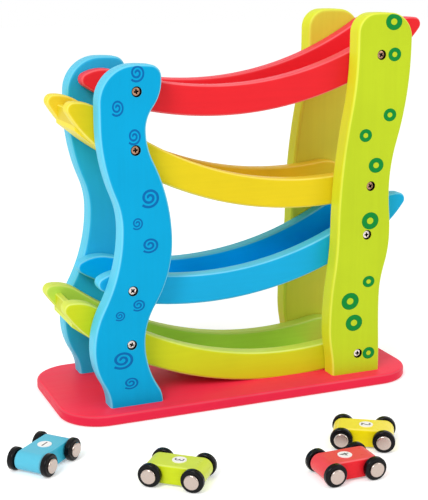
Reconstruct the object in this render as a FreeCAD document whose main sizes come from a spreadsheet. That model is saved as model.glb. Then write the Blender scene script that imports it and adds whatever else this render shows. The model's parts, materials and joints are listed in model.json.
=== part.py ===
import FreeCAD, Part
import math
import os

import Sketcher
from FreeCAD import Vector

# Toy race track: two waved uprights front and back on a base board carry four
# curved ramps, which four little cars run down in turn.
# Millimetres. X runs along the track, Y to the back, Z up. The origin is the
# centre of the underside of the base board.

SIZES = {
    # Base board
    "base_length": 332.0,
    "base_depth": 141.0,
    "base_thickness": 9.5,
    "base_corner_radius": 36.0,
    "base_edge_radius": 2.5,
    # The stack of boards across the track, from the middle outwards
    "channel_width": 47.0,
    "rail_thickness": 14.0,
    "upright_thickness": 18.0,
    "upright_edge_radius": 3.0,
    # Ramps: two rails, a floor let into them and a stop at the upper end
    "rail_top_radius": 298.0,
    "rail_height": 26.0,
    "rail_span_angle": 54.7,
    "nose_top_radius": 35.0,
    "nose_tip_radius": 6.1,
    "nose_bottom_radius": 104.0,
    "nose_drop": 14.0,
    "rail_edge_radius": 2.5,
    "floor_thickness": 3.0,
    "floor_seat_depth": 5.0,
    "floor_lower_angle": 5.3,
    "stop_inset": 8.5,
    "stop_thickness": 6.0,
    "stop_height": 17.0,
    "stop_edge_radius": 1.5,
    # Screws through the uprights into the rails, a little above the middle of their height
    "screw_lift": 1.2,
    "screw_radius": 2.0,
    "screw_head_radius": 3.8,
    "screw_head_height": 2.2,
    "screw_hole_radius": 4.4,
    "screw_hole_depth": 3.4,
    "screw_grip": 11.0,
    "screw_head_edge_radius": 0.8,
    # Screws from under the base into the uprights
    "base_screw_radius": 2.0,
    "base_screw_head_radius": 3.8,
    "base_screw_head_height": 2.2,
    "base_screw_hole_radius": 4.4,
    "base_screw_hole_depth": 3.2,
    "base_screw_grip": 22.0,
    "base_screw_spacing": 24.0,
    # Cars
    "wheelbase": 33.3,
    "tyre_radius": 9.0,
    "tyre_width": 5.2,
    "tyre_edge_radius": 1.4,
    "hub_radius": 5.8,
    "hub_cap_height": 1.9,
    "hub_edge_radius": 1.2,
    "axle_radius": 1.4,
    "axle_clearance": 0.08,
    "car_body_width": 23.4,
    "car_body_height": 15.2,
    "car_edge_radius": 1.8,
    "wheel_side_gap": 0.6,
    "disc_radius": 5.5,
    "disc_thickness": 0.5,
}

# Each upright: its middle line along the track, how far its top stands over the
# lowest point of the top ramp, the reach of the top's highest point to the right
# of the middle line, the top's own radius and a round corner at each side. Its
# wavy edges go up from the base board through turns, where an edge is upright:
# the height above the board, the reach to the right of the middle line, and the
# share of the height since the turn before at which the curve changes hands.
# The last turn of each edge is measured down from the top.
UPRIGHTS = {
    "blue": {
        "middle": -105.0,
        "over_top_ramp": 47.0,
        "crown_reach": 6.9,
        "crown_radius": 110.0,
        "left_corner_radius": 30.5,
        "right_corner_radius": 10.2,
        "left": [
            {"height": 0.0, "reach": -21.0},
            {"height": 50.5, "reach": -34.4, "share": 0.39},
            {"height": 153.5, "reach": -8.6, "share": 0.35},
            {"under_top": 47.3, "reach": -25.7, "share": 0.30},
        ],
        "right": [
            {"height": 0.0, "reach": 26.3},
            {"height": 53.5, "reach": 11.0, "share": 0.25},
            {"height": 140.0, "reach": 36.1, "share": 0.38},
            {"height": 233.5, "reach": 14.1, "share": 0.72},
            {"under_top": 12.8, "reach": 27.9, "share": 0.45},
        ],
    },
    "green": {
        "middle": 110.0,
        "over_top_ramp": 83.8,
        "crown_reach": 14.9,
        "crown_radius": 150.0,
        "left_corner_radius": 17.0,
        "right_corner_radius": 22.1,
        "left": [
            {"height": 0.0, "reach": -25.0},
            {"height": 47.5, "reach": -29.6, "share": 0.5},
            {"height": 135.0, "reach": -23.1, "share": 0.5},
            {"under_top": 32.0, "reach": -8.4, "share": 0.66},
        ],
        "right": [
            {"height": 0.0, "reach": 23.2},
            {"height": 70.0, "reach": 21.3, "share": 0.5},
            {"height": 129.0, "reach": 30.0, "share": 0.5},
            {"height": 168.5, "reach": 27.8, "share": 0.5},
            {"under_top": 32.0, "reach": 45.3, "share": 0.35},
        ],
    },
}

# Each ramp, from the bottom one up: the middle of its arc along the track, how
# far the arc's lowest point rises over the one below it (the base board's top
# for the first, which is cut flat where it rests on the base board), the tilt of
# the rails from level, the side its upper end is on, and how far right of each
# upright's middle line a screw holds it.
RAMPS = {
    "green": {
        "middle": 49.2,
        "rise": -2.0,
        "tilt": -13.0,
        "upper": -1,
        "blue_screw": -1.4,
        "green_screw": 0.4,
    },
    "blue": {
        "middle": -31.4,
        "rise": 79.7,
        "tilt": 10.3,
        "upper": 1,
        "blue_screw": 0.4,
        "green_screw": 6.0,
    },
    "yellow": {
        "middle": 67.3,
        "rise": 77.0,
        "tilt": -15.7,
        "upper": -1,
        "blue_screw": 4.6,
        "green_screw": 8.1,
    },
    "red": {
        "middle": -16.3,
        "rise": 85.0,
        "tilt": 8.9,
        "upper": 1,
        "blue_screw": 6.1,
        "green_screw": 14.6,
    },
}

# Where each car stands on the ground in front, the way it points, and how far
# ahead and left of the middle its number discs are stuck.
CARS = {
    "blue": {"along": -201.1, "out": -122.7, "heading": 42.0, "disc_ahead": -0.1, "disc_left": -0.5},
    "green": {"along": -117.1, "out": -189.4, "heading": -40.0, "disc_ahead": 1.2, "disc_left": 0.6},
    "red": {"along": 3.1, "out": -228.1, "heading": 180.0, "disc_ahead": 1.1, "disc_left": 0.3},
    "yellow": {"along": 45.1, "out": -180.9, "heading": -31.7, "disc_ahead": 2.0, "disc_left": -1.0},
}

UP = Vector(0, 0, 1)

# Less than this counts as nothing.
TINY = 1e-3

# The numbers that a sketch gives the points of an element, and its own origin.
START = 1
END = START + 1
CENTRE = END + 1
ORIGIN = (-1, START)

doc = FreeCAD.newDocument("toy_race_track")
sheet = doc.addObject("Spreadsheet::Sheet", "Sizes")
pieces = {}


def write_sheet():
    """Put every driving dimension in the sheet under its own name."""
    rows = dict(SIZES)
    for upright, shape in UPRIGHTS.items():
        for side in ("left", "right"):
            for number_of_turn, turn in enumerate(shape[side]):
                for key, value in turn.items():
                    rows[f"{upright}_{side}_turn{number_of_turn}_{key}"] = value
            rows[f"{upright}_{side}_corner_radius"] = shape[f"{side}_corner_radius"]
        for key in ("middle", "over_top_ramp", "crown_reach", "crown_radius"):
            rows[f"{upright}_upright_{key}"] = shape[key]
    for ramp, place in RAMPS.items():
        for key in ("middle", "rise", "tilt", "blue_screw", "green_screw"):
            rows[f"{ramp}_ramp_{key}"] = place[key]
    for car, place in CARS.items():
        for key, value in place.items():
            rows[f"{car}_car_{key}"] = value
    for line, (name, value) in enumerate(rows.items(), start=1):
        sheet.set(f"A{line}", name)
        sheet.set(f"B{line}", str(value))
        sheet.setAlias(f"B{line}", name)
    doc.recompute()


def sized(text):
    """Turn plain names of sizes, marked with $, into references to the sheet."""
    return text.replace("$", "Sizes.")


def number(text):
    """The present value of an expression on the sheet."""
    value = sheet.evalExpression(sized(text))
    return float(getattr(value, "Value", value))


def new_body(name, place=("0", "0", "0"), heading=None, solids=1):
    """A piece of its own, put in its place by the sheet."""
    body = doc.addObject("PartDesign::Body", name)
    body.Label = name
    if solids > 1:
        body.AllowCompound = True
    if heading:
        body.Placement.Rotation = FreeCAD.Rotation(UP, number(heading))
        body.setExpression("Placement.Rotation.Angle", sized(heading))
    for axis, text in zip("xyz", place):
        body.setExpression(f"Placement.Base.{axis}", sized(text))
    pieces[name] = body
    return body


def new_sketch(body, plane, offset="0"):
    """A sketch on one of the body's own planes, moved off it along its normal."""
    sketch = body.newObject("Sketcher::SketchObject", f"{body.Name}_outline")
    role = {"flat": "XY_Plane", "side": "XZ_Plane"}[plane]
    support = next(item for item in body.Origin.OriginFeatures if item.Role == role)
    sketch.AttachmentSupport = [(support, "")]
    sketch.MapMode = "FlatFace"
    if offset != "0":
        sketch.setExpression("AttachmentOffset.Base.z", sized(offset))
    return sketch


def constrain(sketch, kind, *where, size=None):
    """Add one constraint, held to the sheet where it has a size."""
    if size is None:
        sketch.addConstraint(Sketcher.Constraint(kind, *where))
        return
    value = number(size)
    if kind == "Angle":
        value = math.radians(value)
    index = sketch.addConstraint(Sketcher.Constraint(kind, *where, value))
    sketch.setExpression(f"Constraints[{index}]", sized(size))


def pin(sketch, element, point, across, up):
    """Hold one point of a sketch at its place from the origin."""
    constrain(sketch, "DistanceX", *ORIGIN, element, point, size=across)
    constrain(sketch, "DistanceY", *ORIGIN, element, point, size=up)


def draw_circle(sketch, across, up, radius):
    """A circle at a place from the sketch's origin."""
    middle = Vector(number(across), number(up), 0)
    circle = sketch.addGeometry(Part.Circle(middle, UP, number(radius)))
    constrain(sketch, "Radius", circle, size=radius)
    pin(sketch, circle, CENTRE, across, up)


def draw_polygon(sketch, corners):
    """Straight sides through corners, each given across and up."""
    points = [Vector(number(across), number(up), 0) for across, up in corners]
    sides = []
    for start, end in zip(points, points[1:] + points[:1]):
        sides.append(sketch.addGeometry(Part.LineSegment(start, end)))
    for side, following in zip(sides, sides[1:] + sides[:1]):
        constrain(sketch, "Coincident", side, END, following, START)
    for side, (across, up) in zip(sides, corners):
        pin(sketch, side, START, across, up)


def draw_arc(sketch, middle, start, finish):
    """The shorter arc about a middle from one point to another.

    Returns the arc and which of its ends lie at the two points."""
    first, second = (math.atan2(point.y - middle.y, point.x - middle.x) for point in (start, finish))
    circle = Part.Circle(middle, UP, (start - middle).Length)
    if (second - first) % (2 * math.pi) < math.pi:
        return sketch.addGeometry(Part.ArcOfCircle(circle, first, second)), START, END
    return sketch.addGeometry(Part.ArcOfCircle(circle, second, first)), END, START


def draw_arc_about_origin(sketch, radius, start, finish):
    """An arc of a set radius about the sketch's origin, between two points on it."""
    arc, first, second = draw_arc(sketch, Vector(), start, finish)
    constrain(sketch, "Coincident", arc, CENTRE, *ORIGIN)
    constrain(sketch, "Radius", arc, size=radius)
    return (arc, first), (arc, second)


def from_down(distance, angle):
    """The point at a distance from a sketch's origin, at an angle in degrees from straight down."""
    return Vector(math.sin(math.radians(angle)), -math.cos(math.radians(angle)), 0) * distance


def turn_place(colour, side, index):
    """A turn of an upright's edge: along the track, and up from the base board."""
    turn = f"${colour}_{side}_turn{index}"
    across = f"(${colour}_upright_middle + {turn}_reach)"
    if "under_top" in UPRIGHTS[colour][side][index]:
        return across, f"({upright_top(colour)} - {turn}_under_top)"
    return across, f"{turn}_height"


def draw_wave(sketch, colour, side):
    """One wavy edge going up: two arcs, tangent to each other, between each turn and the next.

    Returns the first and last arcs with the ends that stand free."""
    free = []
    last_end = None
    for index in range(1, len(UPRIGHTS[colour][side])):
        below = turn_place(colour, side, index - 1)
        above = turn_place(colour, side, index)
        share = f"${colour}_{side}_turn{index}_share"
        low = Vector(number(below[0]), number(below[1]), 0)
        high = Vector(number(above[0]), number(above[1]), 0)
        step = high - low
        both_radii = (step.x ** 2 + step.y ** 2) / (2 * abs(step.x))
        way = Vector(math.copysign(both_radii, step.x), 0, 0)
        join = low + step * number(share)
        lower, lower_turn, lower_join = draw_arc(sketch, low + way * number(share), low, join)
        upper, upper_join, upper_turn = draw_arc(sketch, high - way * (1 - number(share)), join, high)
        if last_end is None:
            free.append((lower, lower_turn))
            pin(sketch, lower, lower_turn, *below)
        else:
            constrain(sketch, "Coincident", *last_end, lower, lower_turn)
        constrain(sketch, "Horizontal", lower, CENTRE, lower, lower_turn)
        constrain(sketch, "Tangent", lower, lower_join, upper, upper_join)
        constrain(sketch, "Horizontal", upper, CENTRE, upper, upper_turn)
        pin(sketch, upper, upper_turn, *above)
        rise = f"({above[1]} - {below[1]}) * {share}"
        constrain(sketch, "DistanceY", lower, lower_turn, lower, lower_join, size=rise)
        last_end = (upper, upper_turn)
    free.append(last_end)
    return free


def draw_upright(sketch, colour):
    """The outline of an upright: two wavy edges, a domed top with round corners, a straight foot."""
    crown_across = f"(${colour}_upright_middle + ${colour}_upright_crown_reach)"
    crown_radius = f"${colour}_upright_crown_radius"
    crown_up = f"({upright_top(colour)} - {crown_radius})"
    crown = Vector(number(crown_across), number(crown_up), 0)
    corners = {}
    for side, inward in (("left", 1), ("right", -1)):
        foot, shoulder = draw_wave(sketch, colour, side)
        across, up = turn_place(colour, side, len(UPRIGHTS[colour][side]) - 1)
        radius = f"${colour}_{side}_corner_radius"
        edge = number(across)
        out = edge + inward * number(radius) - crown.x
        reach = number(f"{crown_radius} - {radius}")
        middle = crown + Vector(out, math.sqrt(reach ** 2 - out ** 2), 0)
        low = Vector(edge, middle.y, 0)
        high = crown + (middle - crown) * (number(crown_radius) / reach)
        straight = sketch.addGeometry(Part.LineSegment(Vector(edge, number(up), 0), low))
        bend, low_end, high_end = draw_arc(sketch, middle, low, high)
        constrain(sketch, "Coincident", *shoulder, straight, START)
        constrain(sketch, "Vertical", straight)
        constrain(sketch, "Tangent", straight, END, bend, low_end)
        constrain(sketch, "Radius", bend, size=radius)
        corners[side] = (foot, (bend, high_end), high)
    dome, left_end, right_end = draw_arc(sketch, crown, corners["left"][2], corners["right"][2])
    constrain(sketch, "Tangent", *corners["left"][1], dome, left_end)
    constrain(sketch, "Tangent", *corners["right"][1], dome, right_end)
    constrain(sketch, "Radius", dome, size=crown_radius)
    pin(sketch, dome, CENTRE, crown_across, crown_up)
    feet = [Vector(number(turn_place(colour, side, 0)[0]), 0, 0) for side in corners]
    foot_line = sketch.addGeometry(Part.LineSegment(*feet))
    constrain(sketch, "Coincident", *corners["left"][0], foot_line, START)
    constrain(sketch, "Coincident", *corners["right"][0], foot_line, END)


def extrude(body, sketch, length, both_ways=False, reverse=False, cut=False):
    """A pad, or a pocket that has to take something away."""
    before = 0.0
    if cut:
        doc.recompute()
        before = body.Shape.Volume
    feature = body.newObject("PartDesign::Pocket" if cut else "PartDesign::Pad", f"{body.Name}_step")
    feature.Profile = sketch
    feature.setExpression("Length", sized(length))
    feature.Midplane = both_ways
    feature.Reversed = reverse
    doc.recompute()
    if cut and not body.Shape.Volume < before - TINY:
        raise RuntimeError(f"{body.Label}: a pocket cuts nothing")
    return feature


def revolve(body, sketch):
    """A full turn about the sketch's upright axis."""
    feature = body.newObject("PartDesign::Revolution", f"{body.Name}_turning")
    feature.Profile = sketch
    feature.ReferenceAxis = (sketch, ["V_Axis"])
    feature.Angle = 360
    doc.recompute()
    return feature


def round_edges(body, radius, chosen):
    """Round the edges of the piece, as it stands, that a test picks by their box."""
    doc.recompute()
    base = body.Tip
    names = [f"Edge{index}" for index, edge in enumerate(base.Shape.Edges, start=1) if chosen(edge)]
    if not names:
        raise RuntimeError(f"{body.Label}: no edge to round")
    feature = body.newObject("PartDesign::Fillet", f"{body.Name}_rounding")
    feature.Base = (base, names)
    feature.setExpression("Radius", sized(radius))
    doc.recompute()
    return feature


def runs_across(edge):
    """True for an edge that goes through a board, parallel to Y."""
    box = edge.BoundBox
    return box.YLength > TINY and box.XLength < TINY and box.ZLength < TINY


def on_faces(distance):
    """A test for edges that lie flat at a distance in front of or behind the origin."""
    half = number(distance)

    def test(edge):
        box = edge.BoundBox
        return box.YLength < TINY and abs(abs(box.YMin) - half) < TINY
    return test


RAIL_PLACE = "($channel_width + $rail_thickness) / 2"
UPRIGHT_PLACE = "$channel_width / 2 + $rail_thickness + $upright_thickness / 2"
OUTER_FACE = "($channel_width / 2 + $rail_thickness + $upright_thickness)"
RAIL_BOTTOM = "($rail_top_radius + $rail_height)"
RAIL_MIDDLE = "($rail_top_radius + $rail_height / 2)"
NOSE_TIP = "($rail_top_radius + $nose_drop)"
FLOOR_TOP = f"({RAIL_BOTTOM} - $floor_thickness)"
SIDES = {"front": -1, "rear": 1}


def ramp_lift(ramp):
    """Height of the lowest point of a ramp's arcs above the base board."""
    order = list(RAMPS)
    below = order[:order.index(ramp) + 1]
    return "(" + " + ".join(f"${name}_ramp_rise" for name in below) + ")"


def upright_top(colour):
    """Height of an upright's top above the base board."""
    top_ramp = list(RAMPS)[-1]
    return f"({ramp_lift(top_ramp)} + ${colour}_upright_over_top_ramp)"


def ramp_height(ramp):
    """Height of the middle of a ramp's arcs."""
    return f"$base_thickness + {ramp_lift(ramp)} + {RAIL_BOTTOM}"


def screw_on_rail(ramp, upright):
    """Where an upright's screw meets a ramp's rails, across and up from the middle of its arcs."""
    across = f"(${upright}_upright_middle + ${ramp}_ramp_{upright}_screw - ${ramp}_ramp_middle)"
    return across, f"$screw_lift - sqrt({RAIL_MIDDLE} ^ 2 - {across} ^ 2)"


def screw_place(ramp, upright):
    """Where an upright's screw meets a ramp's rails, across and up from the track's origin."""
    across, up = screw_on_rail(ramp, upright)
    return f"${ramp}_ramp_middle + {across}", f"{ramp_height(ramp)} + ({up})"


def foot_screws(upright):
    """The places along the track of the two screws in an upright's foot."""
    foot = f"(${upright}_left_turn0_reach + ${upright}_right_turn0_reach) / 2"
    middle = f"${upright}_upright_middle + {foot}"
    return [f"{middle} + {way} * $base_screw_spacing / 2" for way in (-1, 1)]


def base_screw_places():
    """The screws under the uprights, along the track and out from the middle."""
    return [
        (across, f"{side} * ({UPRIGHT_PLACE})")
        for upright in UPRIGHTS
        for across in foot_screws(upright)
        for side in SIDES.values()
    ]


def make_base():
    """The base board: round corners, rounded edges, counterbores underneath."""
    body = new_body("base_board")
    outline = new_sketch(body, "flat")
    half_length, half_depth = "$base_length / 2", "$base_depth / 2"
    draw_polygon(outline, [
        (f"-{half_length}", f"-{half_depth}"),
        (half_length, f"-{half_depth}"),
        (half_length, half_depth),
        (f"-{half_length}", half_depth),
    ])
    extrude(body, outline, "$base_thickness")
    round_edges(body, "$base_corner_radius", lambda edge: edge.BoundBox.ZLength > TINY)
    round_edges(body, "$base_edge_radius", lambda edge: edge.BoundBox.ZLength < TINY)
    for radius, depth in (
        ("$base_screw_hole_radius", "$base_screw_hole_depth"),
        ("$base_screw_radius", "$base_thickness"),
    ):
        holes = new_sketch(body, "flat")
        for across, out in base_screw_places():
            draw_circle(holes, across, out, radius)
        extrude(body, holes, depth, reverse=True, cut=True)


def make_upright(colour, side_name):
    """One waved board, its counterbored screw holes on the outside and pilot holes in its foot."""
    side = SIDES[side_name]
    place = ("0", f"{side} * ({UPRIGHT_PLACE})", "$base_thickness")
    body = new_body(f"{colour}_upright_{side_name}", place)
    outline = new_sketch(body, "side")
    draw_upright(outline, colour)
    extrude(body, outline, "$upright_thickness", both_ways=True)
    in_face = on_faces("$upright_thickness / 2")
    round_edges(body, "$upright_edge_radius", lambda edge: in_face(edge) and edge.BoundBox.ZMax > TINY)
    outer = f"{-side} * $upright_thickness / 2"
    for radius, depth in (
        ("$screw_hole_radius", "$screw_hole_depth"),
        ("$screw_radius", "$upright_thickness"),
    ):
        holes = new_sketch(body, "side", outer)
        for ramp in RAMPS:
            across, up = screw_place(ramp, colour)
            draw_circle(holes, across, f"{up} - $base_thickness", radius)
        extrude(body, holes, depth, reverse=(side > 0), cut=True)
    pilots = new_sketch(body, "flat")
    for across in foot_screws(colour):
        draw_circle(pilots, across, "0", "$base_screw_radius")
    extrude(body, pilots, "$base_screw_grip", reverse=True, cut=True)


def tip_angle(ramp, way):
    """The angle of the middle of a rail's nose: way 1 for the end to the right, -1 to the left."""
    return f"(${ramp}_ramp_tilt + {way} * $rail_span_angle / 2)"


def stop_faces(ramp):
    """The places along the track of an end stop's outer and inner faces, from its ramp's middle."""
    upper = RAMPS[ramp]["upper"]
    tip = f"{NOSE_TIP} * sin({tip_angle(ramp, upper)})"
    outer = f"({tip} + {upper} * ($nose_tip_radius - $stop_inset))"
    inner = f"({outer} - {upper} * $stop_thickness)"
    return outer, inner


def draw_nose(sketch, ramp, way):
    """A rail's round end: three arcs, each tangent to the next, from its top round to its bottom.

    Returns where the long arcs meet it: the point, and the nose's arc with its end there."""
    top, bottom, out = number("$rail_top_radius"), number(RAIL_BOTTOM), number(NOSE_TIP)
    tip_text = tip_angle(ramp, way)
    tip_radius = number("$nose_tip_radius")
    tip = from_down(out, number(tip_text))

    def middle_inboard(distance, radius):
        reach = radius - tip_radius
        apart = math.acos((distance ** 2 + out ** 2 - reach ** 2) / (2 * distance * out))
        return from_down(distance, number(tip_text) - way * math.degrees(apart))

    high = middle_inboard(top + number("$nose_top_radius"), number("$nose_top_radius"))
    low = middle_inboard(bottom - number("$nose_bottom_radius"), number("$nose_bottom_radius"))
    points = [
        high * (top / high.Length),
        tip + (tip - high).normalize() * tip_radius,
        tip + (tip - low).normalize() * tip_radius,
        low * (bottom / low.Length),
    ]
    pairs = zip(points, points[1:])
    arcs = [draw_arc(sketch, middle, *pair) for middle, pair in zip((high, tip, low), pairs)]
    for arc, radius in zip(arcs, ("$nose_top_radius", "$nose_tip_radius", "$nose_bottom_radius")):
        constrain(sketch, "Radius", arc[0], size=radius)
    for (arc, _, finish), (following, start, _) in zip(arcs, arcs[1:]):
        constrain(sketch, "Tangent", arc, finish, following, start)
    pin(sketch, arcs[1][0], CENTRE, f"{NOSE_TIP} * sin({tip_text})", f"-{NOSE_TIP} * cos({tip_text})")
    return {"top": (points[0], arcs[0][:2]), "bottom": (points[-1], (arcs[-1][0], arcs[-1][2]))}


def draw_floor_outline(sketch, ramp, inner, outer):
    """Part of a ring: cut upright at the upper end, square across at the lower end."""
    upper = RAMPS[ramp]["upper"]
    upright_end = stop_faces(ramp)[0]
    square_end = f"({tip_angle(ramp, -upper)} + {upper} * $floor_lower_angle)"
    corners = {}
    for radius in (inner, outer):
        size, across = number(radius), number(upright_end)
        corners[radius] = (
            Vector(across, -math.sqrt(size ** 2 - across ** 2), 0),
            from_down(size, number(square_end)),
        )
    arcs = [draw_arc_about_origin(sketch, radius, *corners[radius]) for radius in (inner, outer)]
    for end in (0, 1):
        side = sketch.addGeometry(Part.LineSegment(corners[inner][end], corners[outer][end]))
        constrain(sketch, "Coincident", side, START, *arcs[0][end])
        constrain(sketch, "Coincident", side, END, *arcs[1][end])
        if end == 0:
            constrain(sketch, "Vertical", side)
            constrain(sketch, "DistanceX", *ORIGIN, side, START, size=upright_end)
        else:
            constrain(sketch, "PointOnObject", *ORIGIN, side)
            constrain(sketch, "Angle", side, size=f"{square_end} - 90")


def trim_to_base(body, ramp, width):
    """Cut a ramp's board flat where its arc would reach into the base board."""
    if number(ramp_lift(ramp)) > -TINY:
        return
    level = f"-({RAIL_BOTTOM} + {ramp_lift(ramp)})"
    below = f"-({RAIL_BOTTOM} + $rail_height)"
    outline = new_sketch(body, "side")
    draw_polygon(outline, [
        (f"-{RAIL_BOTTOM}", below),
        (RAIL_BOTTOM, below),
        (RAIL_BOTTOM, level),
        (f"-{RAIL_BOTTOM}", level),
    ])
    extrude(body, outline, width, both_ways=True, cut=True)


def make_rail(ramp, side_name):
    """A curved board with round noses, a seat for the floor and pilot holes for the screws."""
    side = SIDES[side_name]
    place = (f"${ramp}_ramp_middle", f"{side} * {RAIL_PLACE}", ramp_height(ramp))
    body = new_body(f"{ramp}_rail_{side_name}", place)
    outline = new_sketch(body, "side")
    noses = [draw_nose(outline, ramp, way) for way in (-1, 1)]
    for radius, edge in (("$rail_top_radius", "top"), (RAIL_BOTTOM, "bottom")):
        points, nose_ends = zip(*(nose[edge] for nose in noses))
        long_ends = draw_arc_about_origin(outline, radius, *points)
        for long_end, nose_end in zip(long_ends, nose_ends):
            constrain(outline, "Tangent", *long_end, *nose_end)
    extrude(body, outline, "$rail_thickness", both_ways=True)
    round_edges(body, "$rail_edge_radius", on_faces("$rail_thickness / 2"))
    seat = new_sketch(body, "side", f"{side} * ($rail_thickness / 2 - $floor_seat_depth)")
    draw_floor_outline(seat, ramp, FLOOR_TOP, f"({RAIL_BOTTOM} + $floor_thickness)")
    extrude(body, seat, "$rail_thickness", reverse=(side > 0), cut=True)
    pilots = new_sketch(body, "side", f"{-side} * $rail_thickness / 2")
    for upright in UPRIGHTS:
        draw_circle(pilots, *screw_on_rail(ramp, upright), "$screw_radius")
    extrude(body, pilots, "$screw_grip", reverse=(side > 0), cut=True)
    trim_to_base(body, ramp, "$rail_thickness")


def make_floor(ramp):
    """The thin curved board that the cars run on, let into both rails."""
    body = new_body(f"{ramp}_floor", (f"${ramp}_ramp_middle", "0", ramp_height(ramp)))
    outline = new_sketch(body, "side")
    draw_floor_outline(outline, ramp, FLOOR_TOP, RAIL_BOTTOM)
    width = "$channel_width + 2 * $floor_seat_depth"
    extrude(body, outline, width, both_ways=True)
    trim_to_base(body, ramp, width)


def make_stop(ramp):
    """The upright wall that closes the floor's upper end, between the rails."""
    body = new_body(f"{ramp}_end_stop", (f"${ramp}_ramp_middle", "0", ramp_height(ramp)))
    outer, inner = stop_faces(ramp)
    top = f"$stop_height - sqrt({FLOOR_TOP} ^ 2 - {inner} ^ 2)"
    high, radius = number(top), number(FLOOR_TOP)
    feet = [Vector(x, -math.sqrt(radius ** 2 - x ** 2), 0) for x in (number(outer), number(inner))]
    crowns = [Vector(foot.x, high, 0) for foot in feet]
    outline = new_sketch(body, "side")
    foot_ends = draw_arc_about_origin(outline, FLOOR_TOP, *feet)
    level = outline.addGeometry(Part.LineSegment(*crowns))
    ends = zip(feet, crowns, foot_ends, (START, END), (outer, inner))
    for foot, crown, foot_end, level_end, face in ends:
        wall = outline.addGeometry(Part.LineSegment(foot, crown))
        constrain(outline, "Coincident", wall, START, *foot_end)
        constrain(outline, "Coincident", wall, END, level, level_end)
        constrain(outline, "Vertical", wall)
        constrain(outline, "DistanceX", *ORIGIN, wall, END, size=face)
    constrain(outline, "Horizontal", level)
    constrain(outline, "DistanceY", *ORIGIN, level, START, size=top)
    extrude(body, outline, "$channel_width", both_ways=True)
    round_edges(body, "$stop_edge_radius",
                lambda edge: runs_across(edge) and edge.BoundBox.ZMin > high - TINY)


def make_screws(side_name):
    """The eight screws on one side of the track, heads sunk in the uprights."""
    side = SIDES[side_name]
    body = new_body(f"{side_name}_screws", solids=8)
    under_head = f"{-side} * ({OUTER_FACE} - $screw_hole_depth)"
    reach = "$upright_thickness - $screw_hole_depth + $screw_grip"
    for radius, length, inwards in (
        ("$screw_head_radius", "$screw_head_height", False),
        ("$screw_radius", reach, True),
    ):
        outline = new_sketch(body, "side", under_head)
        for upright in UPRIGHTS:
            for ramp in RAMPS:
                draw_circle(outline, *screw_place(ramp, upright), radius)
        extrude(body, outline, length, reverse=(inwards == (side < 0)))
    head_face = f"{OUTER_FACE} - $screw_hole_depth + $screw_head_height"
    round_edges(body, "$screw_head_edge_radius", on_faces(head_face))


def make_base_screws():
    """The eight screws under the base, heads sunk in its underside."""
    body = new_body("base_screws", solids=8)
    for radius, length, downwards in (
        ("$base_screw_head_radius", "$base_screw_head_height", True),
        ("$base_screw_radius", "$base_thickness - $base_screw_hole_depth + $base_screw_grip", False),
    ):
        outline = new_sketch(body, "flat", "$base_screw_hole_depth")
        for across, out in base_screw_places():
            draw_circle(outline, across, out, radius)
        extrude(body, outline, length, reverse=downwards)


def car_place(car, forward="0"):
    """A point on a car's axle line, moved forward along its heading."""
    heading = f"${car}_car_heading"
    return (
        f"${car}_car_along + ({forward}) * cos({heading})",
        f"${car}_car_out + ({forward}) * sin({heading})",
        "$tyre_radius",
    )


def make_car_body(car):
    """The block between the wheels: half-round ends about the axles, and the axle bores."""
    body = new_body(f"{car}_car_body", car_place(car), f"${car}_car_heading")
    outline = new_sketch(body, "side")
    radius, reach = "$car_body_height / 2", "$wheelbase / 2"
    high, far = number(radius), number(reach)
    ends = []
    for way in (-1, 1):
        circle = Part.Circle(Vector(way * far, 0, 0), UP, high)
        first = way * -math.pi / 2
        ends.append(outline.addGeometry(Part.ArcOfCircle(circle, first, first + math.pi)))
        constrain(outline, "Radius", ends[-1], size=radius)
        pin(outline, ends[-1], CENTRE, f"{way} * {reach}", "0")
    left, right = ends
    roof = outline.addGeometry(Part.LineSegment(Vector(-far, high, 0), Vector(far, high, 0)))
    sill = outline.addGeometry(Part.LineSegment(Vector(-far, -high, 0), Vector(far, -high, 0)))
    constrain(outline, "Tangent", left, START, roof, START)
    constrain(outline, "Tangent", right, END, roof, END)
    constrain(outline, "Tangent", left, END, sill, START)
    constrain(outline, "Coincident", right, START, sill, END)
    extrude(body, outline, "$car_body_width", both_ways=True)
    round_edges(body, "$car_edge_radius", on_faces("$car_body_width / 2"))
    bores = new_sketch(body, "side")
    for way in (-1, 1):
        draw_circle(bores, f"{way} * {reach}", "0", "$axle_radius + $axle_clearance")
    extrude(body, bores, "$car_body_width", both_ways=True, cut=True)


def make_discs(car):
    """The pale number discs on the car's roof and under it, because it runs either way up."""
    body = new_body(f"{car}_car_number_discs", car_place(car), f"${car}_car_heading", solids=2)
    for way in (1, -1):
        outline = new_sketch(body, "flat", f"{way} * $car_body_height / 2")
        draw_circle(outline, f"${car}_car_disc_ahead", f"${car}_car_disc_left", "$disc_radius")
        extrude(body, outline, "$disc_thickness", reverse=(way < 0))


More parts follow.
